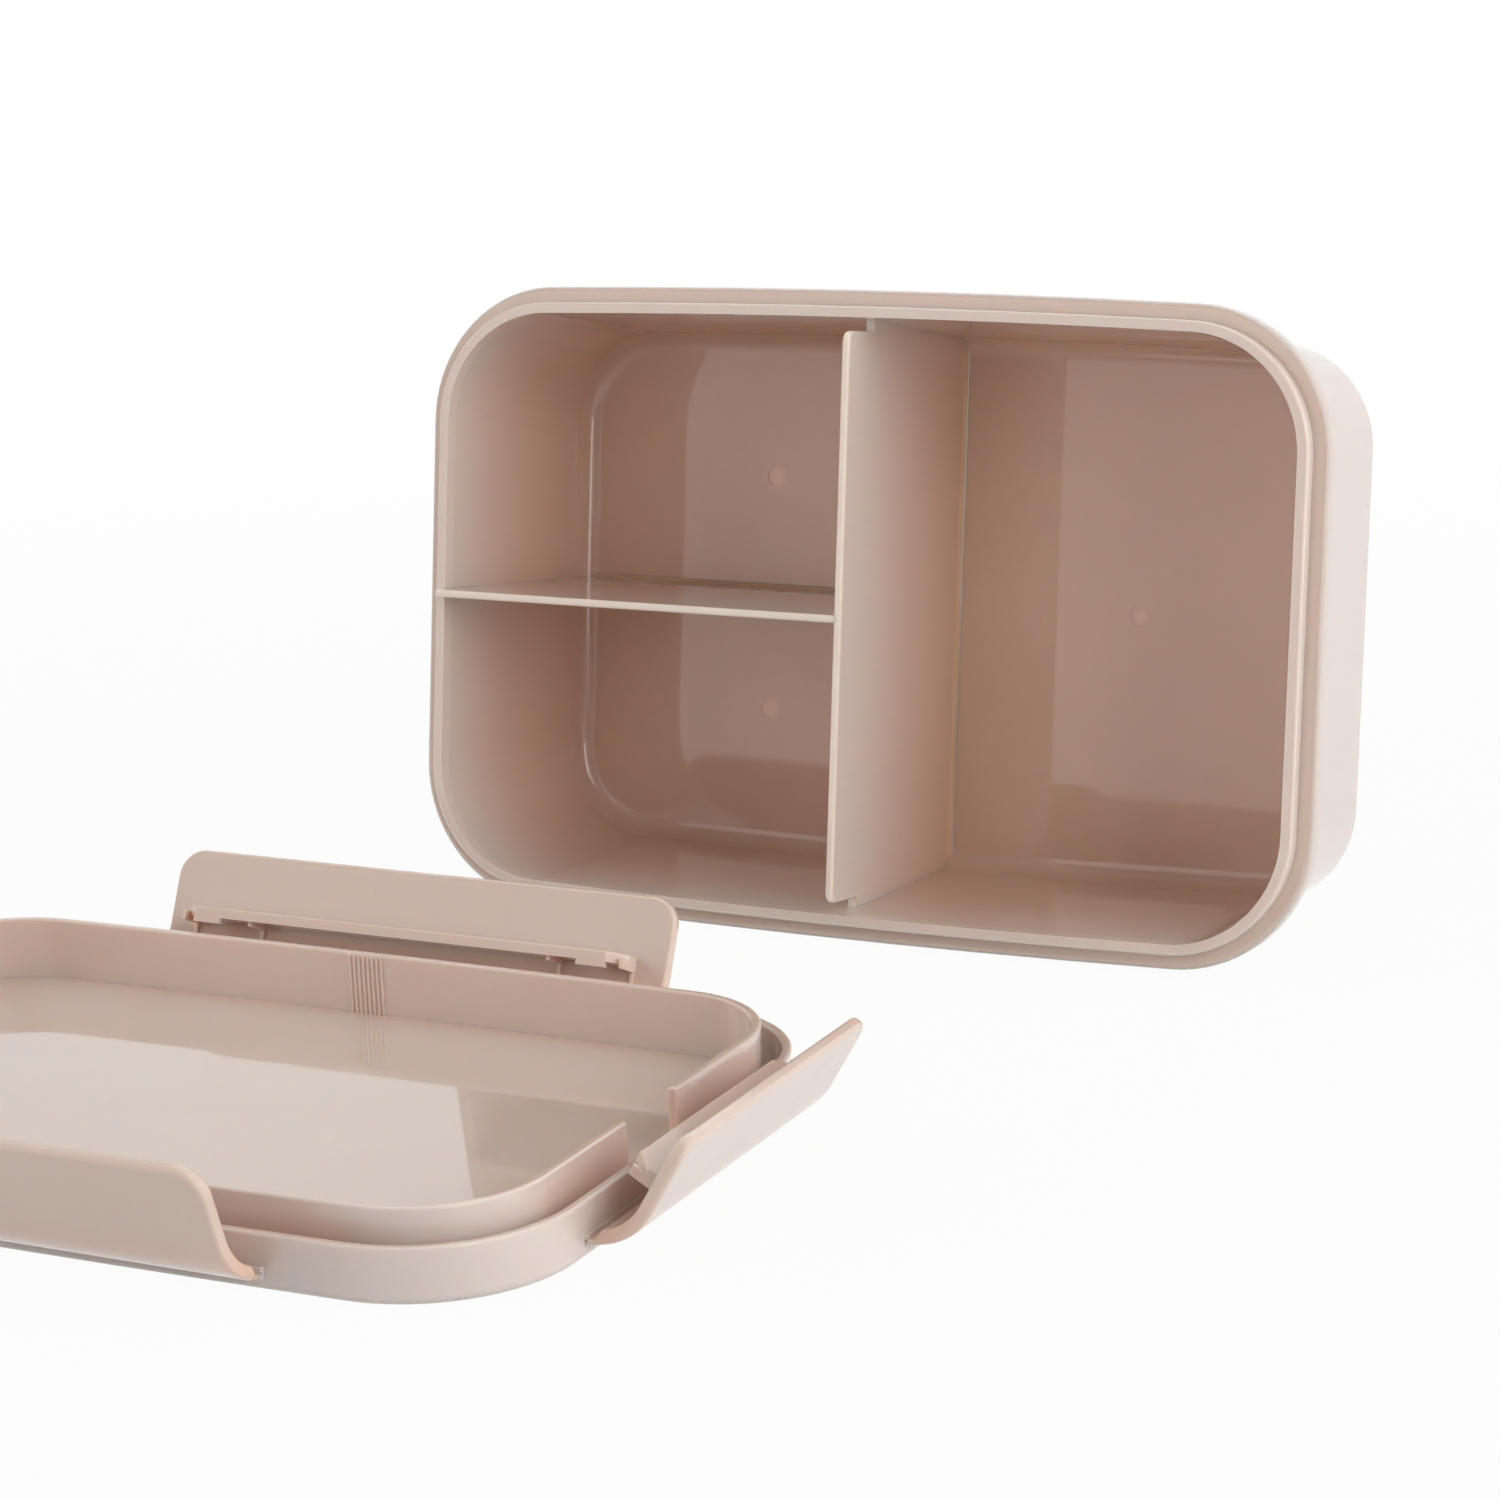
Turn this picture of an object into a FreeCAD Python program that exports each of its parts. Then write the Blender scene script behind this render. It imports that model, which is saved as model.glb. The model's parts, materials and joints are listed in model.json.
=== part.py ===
import FreeCAD, Part
import math
import os
import Sketcher
from FreeCAD import Placement, Rotation, Vector

# Lunch box lying open: the box stands on one long side and leans back a little,
# and the lid lies upside down in front of it with its four snap flaps spread.
# Millimetres, +Z up, the lid's outer face rests on z = 0 at the origin.

SIZES = [
    # rim outline, shared by the box and the lid
    ("rim_half_length", 88.0),
    ("rim_half_width", 58.5),
    ("rim_corner_radius", 25.4),
    ("long_side_radius", 2400.0),
    # box
    ("box_depth", 48.0),
    ("floor_thickness", 2.0),
    ("wall_thickness", 1.8),
    ("wall_taper", 3.3),
    ("base_round", 5.0),
    ("floor_round", 3.6),
    ("flange_thickness", 3.0),
    ("flange_overhang", 3.2),
    ("flange_round", 1.0),
    ("lip_setback", 2.9),
    ("lip_thickness", 1.95),
    ("lip_height", 2.8),
    ("lip_round", 0.6),
    ("gate_mark_radius", 2.0),
    ("gate_mark_depth", 0.15),
    ("gate_mark_x", 38.0),
    ("gate_mark_y", 22.5),
    # dividers
    ("divider_edge", 1.4),
    ("divider_foot", 2.2),
    ("divider_foot_round", 1.2),
    ("divider_foot_sink", 0.1),
    ("divider_lid_gap", 0.6),
    ("divider_ring_gap", 0.4),
    ("divider_corner_round", 2.0),
    ("divider_edge_round", 0.5),
    # lid
    ("panel_thickness", 2.2),
    ("panel_edge_round", 1.5),
    ("skirt_inset", 0.5),
    ("skirt_thickness", 1.7),
    ("skirt_height", 8.8),
    ("skirt_round", 0.5),
    ("ring_clearance", 0.4),
    ("ring_thickness", 1.6),
    ("ring_height", 12.9),
    ("ring_round", 0.45),
    ("ring_gap", 15.6),
    ("ridge_width", 0.4),
    ("ridge_rise", 0.25),
    ("ridge_pitch", 0.9),
    ("ridge_count", 8),
    # living hinges
    ("hinge_height", 3.0),
    ("land_proud", 0.3),
    ("land_half_height", 0.9),
    ("film_half_length", 0.6),
    ("film_thickness", 0.4),
    # flaps
    ("long_flap_half", 50.5),
    ("short_flap_half", 30.5),
    ("flap_length", 22.6),
    ("flap_wall", 2.2),
    ("flap_clearance", 4.0),
    ("flap_heel_round", 12.0),
    ("flap_web_half", 0.4),
    ("long_flap_corner", 5.0),
    ("short_flap_corner", 3.2),
    ("flap_edge_round", 0.8),
    ("rail_end_setback", 6.0),
    ("rail_thickness", 1.85),
    ("rail_chamfer", 3.0),
    ("rail_round", 0.35),
    ("hook_reach", 2.0),
    ("hook_clearance", 0.25),
    ("hook_drop", 0.95),
    ("hook_length", 5.5),
    ("hook_thickness", 1.0),
    ("rib_thickness", 0.6),
    ("rib_proud", 0.8),
    ("rib_spacing", 14.0),
    # rest pose
    ("box_right", 56.0),
    ("box_behind", 122.7),
    ("back_open_angle", 25.0),
    ("front_open_angle", 18.5),
    ("right_open_angle", 31.0),
    ("left_open_angle", 25.0),
]


class Size:
    """A length kept both as its number and as the sheet expression it comes from."""

    def __init__(self, value, text):
        self.value = value
        self.text = text

    def __add__(self, other):
        other = as_size(other)
        return Size(self.value + other.value, "(%s + %s)" % (self.text, other.text))

    def __sub__(self, other):
        other = as_size(other)
        return Size(self.value - other.value, "(%s - %s)" % (self.text, other.text))

    def __mul__(self, factor):
        return Size(self.value * factor, "(%s * %s)" % (self.text, factor))

    def __neg__(self):
        return self * -1


def as_size(value):
    """Turn a bare number into a length."""
    return value if isinstance(value, Size) else Size(value, "%s mm" % value)


# document and sheet of driving sizes
doc = FreeCAD.newDocument("lunch_box")
sheet = doc.addObject("Spreadsheet::Sheet", "Sizes")
for row, (alias, number) in enumerate(SIZES, start=1):
    sheet.set("A%d" % row, alias)
    sheet.set("B%d" % row, str(number))
    sheet.setAlias("B%d" % row, alias)
doc.recompute()


def get(alias):
    """One driving size, as the sheet holds it."""
    unit = "" if alias.endswith(("_count", "_angle")) else " * 1 mm"
    return Size(float(sheet.get(alias)), "Sizes.%s%s" % (alias, unit))


def bind(target, prop, size):
    """Tie a property to the sheet."""
    target.setExpression(prop, size.text)


# sketches
def origin_plane(body, role):
    """One of the body's own origin planes."""
    return [f for f in body.Origin.OriginFeatures if f.Role == role][0]


def new_sketch(body, name, role="XY_Plane", level=None):
    """An empty sketch on one of the body's planes, lifted by level along its normal."""
    sketch = body.newObject("Sketcher::SketchObject", name)
    sketch.AttachmentSupport = [(origin_plane(body, role), "")]
    sketch.MapMode = "FlatFace"
    if level is not None:
        sketch.AttachmentOffset = Placement(Vector(0, 0, level.value), Rotation())
        bind(sketch, "AttachmentOffset.Base.z", level)
    return sketch


def measure(sketch, kind, geometry, point, size):
    """Distance of a point from the sketch origin along x or y."""
    index = sketch.addConstraint(Sketcher.Constraint(kind, -1, 1, geometry, point, size.value))
    bind(sketch, "Constraints[%d]" % index, size)


def radius(sketch, geometry, size):
    """Radius of an arc."""
    index = sketch.addConstraint(Sketcher.Constraint("Radius", geometry, size.value))
    bind(sketch, "Constraints[%d]" % index, size)


def line(sketch, start, end):
    """A straight edge between two points."""
    return sketch.addGeometry(Part.LineSegment(Vector(*start, 0), Vector(*end, 0)), False)


def arc(sketch, centre, size, begin, finish):
    """A counter-clockwise arc, angles in radians."""
    circle = Part.Circle(Vector(*centre, 0), Vector(0, 0, 1), size)
    return sketch.addGeometry(Part.ArcOfCircle(circle, begin, finish), False)


def join(sketch, first, first_end, second, second_end, kind="Coincident"):
    """Two edge ends meet, tangent or at a corner."""
    sketch.addConstraint(Sketcher.Constraint(kind, first, first_end, second, second_end))


def polygon(sketch, corners):
    """Closed outline of straight edges along x and y, each corner tied to the sheet."""
    points = [(x.value, y.value) for x, y in corners]
    edges = [line(sketch, p, q) for p, q in zip(points, points[1:] + points[:1])]
    for i, edge in enumerate(edges):
        join(sketch, edge, 2, edges[(i + 1) % len(edges)], 1)
        measure(sketch, "DistanceX", edge, 1, corners[i][0])
        measure(sketch, "DistanceY", edge, 1, corners[i][1])
    return edges


def circle(sketch, x, y, size):
    """Circle with a tied centre and radius."""
    ring = sketch.addGeometry(Part.Circle(Vector(x.value, y.value, 0), Vector(0, 0, 1), size.value), False)
    measure(sketch, "DistanceX", ring, 3, x)
    measure(sketch, "DistanceY", ring, 3, y)
    radius(sketch, ring, size)


def rectangle(sketch, left, right, bottom, top):
    """Rectangle between four tied distances."""
    return polygon(sketch, [(left, bottom), (right, bottom), (right, top), (left, top)])


def rim_centres():
    """Centres shared by every offset of the rim: corner x, corner y, long side y."""
    length = get("rim_half_length").value
    corner = get("rim_corner_radius").value
    side = get("long_side_radius").value
    side_y = get("rim_half_width").value - side
    corner_x = length - corner
    corner_y = side_y + math.sqrt((side - corner) ** 2 - corner_x ** 2)
    return corner_x, corner_y, side_y


def rim_outline(body, name, inset, level):
    """The rim's outline, moved inwards by inset: straight ends, slightly bowed long sides."""
    sketch = new_sketch(body, name, level=level)
    corner_x, corner_y, side_y = rim_centres()
    end = get("rim_half_length") - inset
    corner = get("rim_corner_radius") - inset
    side = get("long_side_radius") - inset
    drop = get("rim_half_width") - get("long_side_radius")
    turn = math.atan2(corner_y - side_y, corner_x)
    pi = math.pi
    x, r, s = end.value, corner.value, side.value
    edges = [
        line(sketch, (x, -corner_y), (x, corner_y)),
        arc(sketch, (corner_x, corner_y), r, 0, turn),
        arc(sketch, (0, side_y), s, turn, pi - turn),
        arc(sketch, (-corner_x, corner_y), r, pi - turn, pi),
        line(sketch, (-x, corner_y), (-x, -corner_y)),
        arc(sketch, (-corner_x, -corner_y), r, pi, pi + turn),
        arc(sketch, (0, -side_y), s, pi + turn, 2 * pi - turn),
        arc(sketch, (corner_x, -corner_y), r, 2 * pi - turn, 2 * pi),
    ]
    for i, edge in enumerate(edges):
        join(sketch, edge, 2, edges[(i + 1) % 8], 1, "Tangent")
    for i in (0, 4):
        sketch.addConstraint(Sketcher.Constraint("Vertical", edges[i]))
    for i in (3, 5, 7):
        sketch.addConstraint(Sketcher.Constraint("Equal", edges[1], edges[i]))
    sketch.addConstraint(Sketcher.Constraint("Equal", edges[2], edges[6]))
    for i, centre_y in ((2, drop), (6, -drop)):
        sketch.addConstraint(Sketcher.Constraint("PointOnObject", edges[i], 3, -2))
        measure(sketch, "DistanceY", edges[i], 3, centre_y)
    measure(sketch, "DistanceX", edges[0], 1, end)
    measure(sketch, "DistanceX", edges[4], 1, -end)
    radius(sketch, edges[1], corner)
    radius(sketch, edges[2], side)
    return sketch


# features
def new_body(name):
    return doc.addObject("PartDesign::Body", name)


def extrude(body, kind, name, sketch, length, symmetric=False):
    """Pad or pocket of a sketch."""
    feature = body.newObject("PartDesign::" + kind, name)
    feature.Profile = sketch
    feature.Length = length.value
    bind(feature, "Length", length)
    if symmetric:
        feature.SideType = "Symmetric"
    doc.recompute()
    return feature


def loft(body, name, first, last):
    """Straight-sided body between two outlines."""
    feature = body.newObject("PartDesign::AdditiveLoft", name)
    feature.Profile = first
    feature.Sections = [last]
    feature.Ruled = True
    doc.recompute()
    return feature


def round_edges(body, name, size, choose):
    """Fillet on the edges of the body's tip that choose() accepts."""
    base = body.Tip
    names = ["Edge%d" % (i + 1) for i, edge in enumerate(base.Shape.Edges) if choose(edge)]
    fillet = body.newObject("PartDesign::Fillet", name)
    fillet.Base = (base, names)
    fillet.Radius = size.value
    bind(fillet, "Radius", size)
    doc.recompute()
    return fillet


def at_level(height):
    """Chooses the edges that lie flat at one height."""
    def choose(edge):
        box = edge.BoundBox
        return abs(box.ZMin - height.value) < 1e-3 and abs(box.ZMax - height.value) < 1e-3
    return choose


def mirrored(body, name, feature, role):
    """Mirror copy of a feature across one of the body's planes."""
    copy = body.newObject("PartDesign::Mirrored", name)
    copy.Originals = [feature]
    copy.MirrorPlane = (origin_plane(body, role), [""])
    body.Tip = copy
    doc.recompute()
    return copy


def boolean(kind, name, base, tool):
    """Cut or common of two finished solids."""
    result = doc.addObject("Part::" + kind, name)
    result.Base = base
    result.Tool = tool
    doc.recompute()
    return result


# levels and offsets used by several pieces
flange_face = get("box_depth")
flange_back = get("box_depth") - get("flange_thickness")
lip_top = get("box_depth") + get("lip_height")
base_inset = get("flange_overhang") + get("wall_taper")
floor_inset = base_inset + get("wall_thickness")
mouth_inset = get("lip_setback") + get("lip_thickness")
ring_outer_inset = mouth_inset + get("ring_clearance")
ring_inner_inset = ring_outer_inset + get("ring_thickness")
skirt_inner_inset = get("skirt_inset") + get("skirt_thickness")
divider_top = get("box_depth") + get("skirt_height") - get("panel_thickness") - get("divider_lid_gap")
divider_width = get("divider_foot") + get("divider_foot_round") * 2
ring_end = get("box_depth") - (get("ring_height") - get("skirt_height"))
mid = Size(0.0, "0 mm")


# box
def make_box_blank():
    """The box as if solid: tapered walls, flange and lip."""
    body = new_body("box_blank")
    base = rim_outline(body, "base_outline", base_inset, mid)
    top = rim_outline(body, "wall_outline", get("flange_overhang"), flange_back)
    loft(body, "walls", base, top)
    round_edges(body, "base_edge", get("base_round"), at_level(mid))
    flange = rim_outline(body, "flange_outline", mid, flange_back)
    extrude(body, "Pad", "flange", flange, get("flange_thickness"))
    round_edges(body, "flange_edge", get("flange_round"), at_level(flange_face))
    lip = rim_outline(body, "lip_outline", get("lip_setback"), flange_face)
    extrude(body, "Pad", "lip", lip, get("lip_height"))
    round_edges(body, "lip_edge", get("lip_round"), at_level(lip_top))
    return body


def make_cavity():
    """The space inside the box, carried on above the lip."""
    body = new_body("cavity")
    floor = rim_outline(body, "floor_outline", floor_inset, get("floor_thickness"))
    mouth = rim_outline(body, "mouth_outline", mouth_inset, lip_top)
    loft(body, "inside", floor, mouth)
    round_edges(body, "floor_edge", get("floor_round"), at_level(get("floor_thickness")))
    above = rim_outline(body, "above_outline", mouth_inset, lip_top)
    extrude(body, "Pad", "above", above, get("skirt_height"))
    make_gate_marks(body)
    return body


def make_gate_marks(body):
    """Shallow round moulding mark in the floor of each compartment."""
    sketch = new_sketch(body, "mark_outline", level=get("floor_thickness") - get("gate_mark_depth"))
    across, up = get("gate_mark_x"), get("gate_mark_y")
    for x, y in ((-across, up), (-across, -up), (across, mid)):
        circle(sketch, x, y, get("gate_mark_radius"))
    extrude(body, "Pad", "marks", sketch, get("gate_mark_depth") * 2)


def plate_section(body, role):
    """Section of an upright wall that tapers to its front edge and curves out into the floor."""
    sketch = new_sketch(body, "section", role)
    edge, foot = get("divider_edge") * 0.5, get("divider_foot") * 0.5
    bend = get("divider_foot_round")
    sunk = get("floor_thickness") - get("divider_foot_sink")
    r, e, f, t = bend.value, edge.value, foot.value, divider_top.value
    centre_z = sunk.value + r
    tilt = math.atan2(f - e, t - centre_z)
    out = f + r * math.cos(tilt)
    bend_z = centre_z - r * math.sin(tilt)
    pi = math.pi
    under = line(sketch, (-out, 0), (out, 0))
    right_end = line(sketch, (out, 0), (out, sunk.value))
    right_bend = arc(sketch, (out, centre_z), r, pi + tilt, 1.5 * pi)
    right = line(sketch, (f, bend_z), (e, t))
    front = line(sketch, (e, t), (-e, t))
    left = line(sketch, (-e, t), (-f, bend_z))
    left_bend = arc(sketch, (-out, centre_z), r, 1.5 * pi, 2 * pi - tilt)
    left_end = line(sketch, (-out, sunk.value), (-out, 0))
    join(sketch, under, 2, right_end, 1)
    join(sketch, right_end, 2, right_bend, 2)
    join(sketch, right_bend, 1, right, 1, "Tangent")
    join(sketch, right, 2, front, 1)
    join(sketch, front, 2, left, 1)
    join(sketch, left, 2, left_bend, 2, "Tangent")
    join(sketch, left_bend, 1, left_end, 1)
    join(sketch, left_end, 2, under, 1)
    sketch.addConstraint(Sketcher.Constraint("Horizontal", front))
    for upright, foot_bend, end, sign in ((right, right_bend, 2, 1), (left, left_bend, 1, -1)):
        radius(sketch, foot_bend, bend)
        measure(sketch, "DistanceY", foot_bend, end, sunk)
        sketch.addConstraint(Sketcher.Constraint("Vertical", foot_bend, 3, foot_bend, end))
        measure(sketch, "DistanceX", upright, 3 - end, foot * sign)
        measure(sketch, "DistanceX", upright, end, edge * sign)
    for end in (right_end, left_end):
        sketch.addConstraint(Sketcher.Constraint("Vertical", end))
    sketch.addConstraint(Sketcher.Constraint("PointOnObject", under, 1, -1))
    sketch.addConstraint(Sketcher.Constraint("Horizontal", under))
    measure(sketch, "DistanceY", front, 1, divider_top)
    return sketch


def tapered_plate(body, role, reach):
    """Upright wall, thicker at its foot, centred on one plane of the box."""
    return extrude(body, "Pad", "plate", plate_section(body, role), reach, symmetric=True)


def make_main_plate():
    """Wall across the box, stepped back at both ends to let the lid's ring pass."""
    body = new_body("main_plate")
    tapered_plate(body, "XZ_Plane", get("rim_half_width") * 2)
    sketch = new_sketch(body, "ring_notches", "YZ_Plane")
    end = get("rim_half_width") - ring_inner_inset - get("divider_ring_gap")
    outside = get("rim_half_width") + 5
    low = ring_end - get("divider_ring_gap")
    high = divider_top + 5
    rectangle(sketch, end, outside, low, high)
    rectangle(sketch, -outside, -end, low, high)
    extrude(body, "Pocket", "notches", sketch, divider_width * 2, symmetric=True)

    def front_corner(edge):
        box = edge.BoundBox
        across = box.XLength > get("divider_edge").value * 0.9 and box.YLength < 1e-3
        return across and abs(box.ZMin - divider_top.value) < 1e-3
    round_edges(body, "front_corners", get("divider_corner_round"), front_corner)

    def front_edge(edge):
        box = edge.BoundBox
        return box.ZMin > low.value + 1e-3 and box.XLength < get("divider_edge").value * 0.9
    round_edges(body, "front_edges", get("divider_edge_round"), front_edge)
    return body


def make_cross_plate():
    """Wall along the middle of the box."""
    body = new_body("cross_plate")
    tapered_plate(body, "YZ_Plane", get("rim_half_length") * 2)
    sketch = new_sketch(body, "left_half", "XZ_Plane")
    rectangle(sketch, mid, get("rim_half_length") + 5, -as_size(5), divider_top + 5)
    extrude(body, "Pocket", "keep_left", sketch, divider_width * 2, symmetric=True)

    def front_edge(edge):
        box = edge.BoundBox
        return box.XLength > get("rim_half_length").value * 0.5 and at_level(divider_top)(edge)
    round_edges(body, "front_edges", get("divider_edge_round"), front_edge)
    return body


# lid, upside down
def make_lid():
    """Panel with a low skirt, a tall inner ring and a straight land for each hinge."""
    body = new_body("lid")
    skirt = rim_outline(body, "skirt_outline", get("skirt_inset"), mid)
    extrude(body, "Pad", "skirt", skirt, get("skirt_height"))
    round_edges(body, "panel_edge", get("panel_edge_round"), at_level(mid))
    tray = rim_outline(body, "tray_outline", skirt_inner_inset, get("skirt_height"))
    extrude(body, "Pocket", "tray", tray, get("skirt_height") - get("panel_thickness"))
    round_edges(body, "skirt_edge", get("skirt_round"), at_level(get("skirt_height")))
    wall_height = get("ring_height") - get("panel_thickness")
    ring = rim_outline(body, "ring_outline", ring_outer_inset, get("panel_thickness"))
    extrude(body, "Pad", "ring", ring, wall_height)
    well = rim_outline(body, "well_outline", ring_inner_inset, get("ring_height"))
    extrude(body, "Pocket", "well", well, wall_height)
    make_ring_gap(body, wall_height)
    make_ridges(body, wall_height)
    make_lands(body)
    return body


def make_ring_gap(body, wall_height):
    """Opening in the ring where the cross divider passes."""
    sketch = new_sketch(body, "gap_outline", level=get("ring_height"))
    half = get("ring_gap") * 0.5
    inner = get("rim_half_length") - ring_inner_inset - 2
    outer = get("rim_half_length") - ring_outer_inset + get("ring_clearance")
    rectangle(sketch, inner, outer, -half, half)
    extrude(body, "Pocket", "gap", sketch, wall_height)
    ring_top = at_level(get("ring_height"))

    def gap_corner(edge):
        box = edge.BoundBox
        upright = box.ZLength > wall_height.value * 0.9 and box.XLength + box.YLength < 1e-3
        return upright and abs(abs(box.YMin) - half.value) < 1e-3
    round_edges(body, "ring_edge", get("ring_round"), lambda edge: ring_top(edge) or gap_corner(edge))


def make_ridges(body, wall_height):
    """Fine upright ridges on the ring's inner faces, where the main divider ends."""
    sketch = new_sketch(body, "ridge_outline", level=get("panel_thickness"))
    face = get("rim_half_width") - ring_inner_inset
    count = int(get("ridge_count").value)
    for number in range(count):
        centre = get("ridge_pitch") * (number - (count - 1) / 2)
        left = centre - get("ridge_width") * 0.5
        right = centre + get("ridge_width") * 0.5
        near = face - get("ridge_rise")
        far = face + get("ring_thickness") * 0.5
        rectangle(sketch, left, right, near, far)
        rectangle(sketch, left, right, -far, -near)
    extrude(body, "Pad", "ridges", sketch, wall_height - get("ring_round"))


def make_lands(body):
    """Straight edge for each hinge film, standing just proud of the skirt."""
    sketch = new_sketch(body, "land_outline", level=get("hinge_height") - get("land_half_height"))
    for half_rim, half_flap, turned in ((get("rim_half_width"), get("long_flap_half"), False),
                                        (get("rim_half_length"), get("short_flap_half"), True)):
        near = half_rim - skirt_inner_inset
        far = half_rim - get("skirt_inset") + get("land_proud")
        for low, high in ((near, far), (-far, -near)):
            if turned:
                rectangle(sketch, low, high, -half_flap, half_flap)
            else:
                rectangle(sketch, -half_flap, half_flap, low, high)
    extrude(body, "Pad", "lands", sketch, get("land_half_height") * 2)


# flaps: local x along the hinge, y outwards, z up when the flap stands square to the lid
rim_from_axis = get("skirt_inset") - get("land_proud") - get("film_half_length")
wall_inner = rim_from_axis + get("flap_clearance")
wall_outer = wall_inner + get("flap_wall")
hook_face = (get("skirt_height") + get("flange_thickness") - get("hinge_height")
             + get("hook_clearance"))
rail_bottom = hook_face + get("hook_drop")
rail_middle = rail_bottom + get("rail_thickness") * 0.5
rail_top = rail_bottom + get("rail_thickness")
rail_inner = rim_from_axis - get("hook_reach")


def flap_section(body):
    """Side view of the flap: curved heel at the hinge and an upright wall."""
    sketch = new_sketch(body, "section", "YZ_Plane")
    start = get("film_half_length")
    web = get("flap_web_half")
    heel = get("flap_heel_round")
    top = get("flap_length") + 2
    outer_r, inner_r = heel.value, heel.value - get("flap_wall").value
    heel_y = wall_outer.value - outer_r
    outer_turn = math.acos((start.value - heel_y) / outer_r)
    inner_turn = math.acos((start.value - heel_y) / inner_r)
    heel_z = outer_r * math.sin(outer_turn) - web.value
    foot_z = heel_z - inner_r * math.sin(inner_turn)
    o, i, t = wall_outer.value, wall_inner.value, top.value
    heel_arc = arc(sketch, (heel_y, heel_z), outer_r, -outer_turn, 0)
    outer = line(sketch, (o, heel_z), (o, t))
    upper = line(sketch, (o, t), (i, t))
    inner = line(sketch, (i, t), (i, heel_z))
    inner_heel = arc(sketch, (heel_y, heel_z), inner_r, -inner_turn, 0)
    end = line(sketch, (start.value, foot_z), (start.value, -web.value))
    join(sketch, heel_arc, 2, outer, 1, "Tangent")
    join(sketch, outer, 2, upper, 1)
    join(sketch, upper, 2, inner, 1)
    join(sketch, inner, 2, inner_heel, 2, "Tangent")
    join(sketch, inner_heel, 1, end, 1)
    join(sketch, end, 2, heel_arc, 1)
    join(sketch, heel_arc, 3, inner_heel, 3)
    for kind, edge in (("Vertical", outer), ("Horizontal", upper), ("Vertical", end)):
        sketch.addConstraint(Sketcher.Constraint(kind, edge))
    measure(sketch, "DistanceX", heel_arc, 1, start)
    measure(sketch, "DistanceY", heel_arc, 1, -web)
    measure(sketch, "DistanceX", outer, 1, wall_outer)
    measure(sketch, "DistanceX", inner, 1, wall_inner)
    measure(sketch, "DistanceY", upper, 1, top)
    radius(sketch, heel_arc, heel)
    return sketch


def flap_outline(body, half, corner):
    """Front view to cut the flap to: straight ends and rounded free corners."""
    sketch = new_sketch(body, "front_view", "XZ_Plane")
    top = get("flap_length")
    below = -(get("flap_web_half") + 2)
    rectangle(sketch, -(half + 5), half + 5, below - 5, top + 5)
    h, c, t, b = half.value, corner.value, top.value, below.value
    base = line(sketch, (-h, b), (h, b))
    right = line(sketch, (h, b), (h, t - c))
    right_top = arc(sketch, (h - c, t - c), c, 0, math.pi / 2)
    upper = line(sketch, (h - c, t), (-h + c, t))
    left_top = arc(sketch, (-h + c, t - c), c, math.pi / 2, math.pi)
    left = line(sketch, (-h, t - c), (-h, b))
    join(sketch, base, 2, right, 1)
    join(sketch, right, 2, right_top, 1, "Tangent")
    join(sketch, right_top, 2, upper, 1, "Tangent")
    join(sketch, upper, 2, left_top, 1, "Tangent")
    join(sketch, left_top, 2, left, 1, "Tangent")
    join(sketch, left, 2, base, 1)
    for kind, edge, size in (("DistanceX", right, half), ("DistanceX", left, -half),
                             ("DistanceY", base, below), ("DistanceY", upper, top)):
        upright = kind == "DistanceX"
        sketch.addConstraint(Sketcher.Constraint("Vertical" if upright else "Horizontal", edge))
        measure(sketch, kind, edge, 1, size)
    for edge in (right_top, left_top):
        radius(sketch, edge, corner)
    return sketch


def side_pad(body, name, start, length, corners):
    """Block on the flap's inner face from start along the hinge, with its mirror copy."""
    sketch = new_sketch(body, name + "_outline", "YZ_Plane", level=start)
    polygon(sketch, corners)
    block = extrude(body, "Pad", name, sketch, length)
    mirrored(body, name + "_mirror", block, "YZ_Plane")


def round_flap(body, half, corner):
    """Rounds the flap's ends, free corners and free edge, inside and outside."""
    start = get("film_half_length").value
    top = get("flap_length").value

    def on_outline(edge):
        first, last = edge.ParameterRange
        point = edge.valueAt((first + last) / 2)
        box = edge.BoundBox
        if box.XLength + box.ZLength < 1e-3 or box.YMax < start + 1e-3:
            return False
        side = abs(point.x) - (half.value - corner.value)
        rise = point.z - (top - corner.value)
        if side > 0 and rise > 0:
            return abs(math.hypot(side, rise) - corner.value) < 1e-3
        return abs(side - corner.value) < 1e-3 or abs(rise - corner.value) < 1e-3
    round_edges(body, "outline_edge", get("flap_edge_round"), on_outline)


def make_rail(body, rail_half, inside):
    """Shelf along the flap's inner face with cut-off corners."""
    sketch = new_sketch(body, "rail_outline", level=rail_bottom)
    cut = get("rail_chamfer")
    polygon(sketch, [(-rail_half, inside), (-rail_half, rail_inner + cut), (cut - rail_half, rail_inner),
                     (rail_half - cut, rail_inner), (rail_half, rail_inner + cut), (rail_half, inside)])
    extrude(body, "Pad", "rail", sketch, get("rail_thickness"))
    upper = at_level(rail_top)

    def free_edge(edge):
        return upper(edge) and edge.CenterOfMass.y < wall_inner.value - 1e-3
    round_edges(body, "rail_edge", get("rail_round"), free_edge)


def make_hooks(body, rail_half):
    """Hook under each end of the rail, which grips the box's flange."""
    start = rail_half - get("rail_chamfer") - get("hook_length")
    back = rail_inner + get("hook_thickness")
    side_pad(body, "hook", start, get("hook_length"),
             [(rail_inner, hook_face), (back, hook_face), (back, rail_middle), (rail_inner, rail_middle)])


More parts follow.
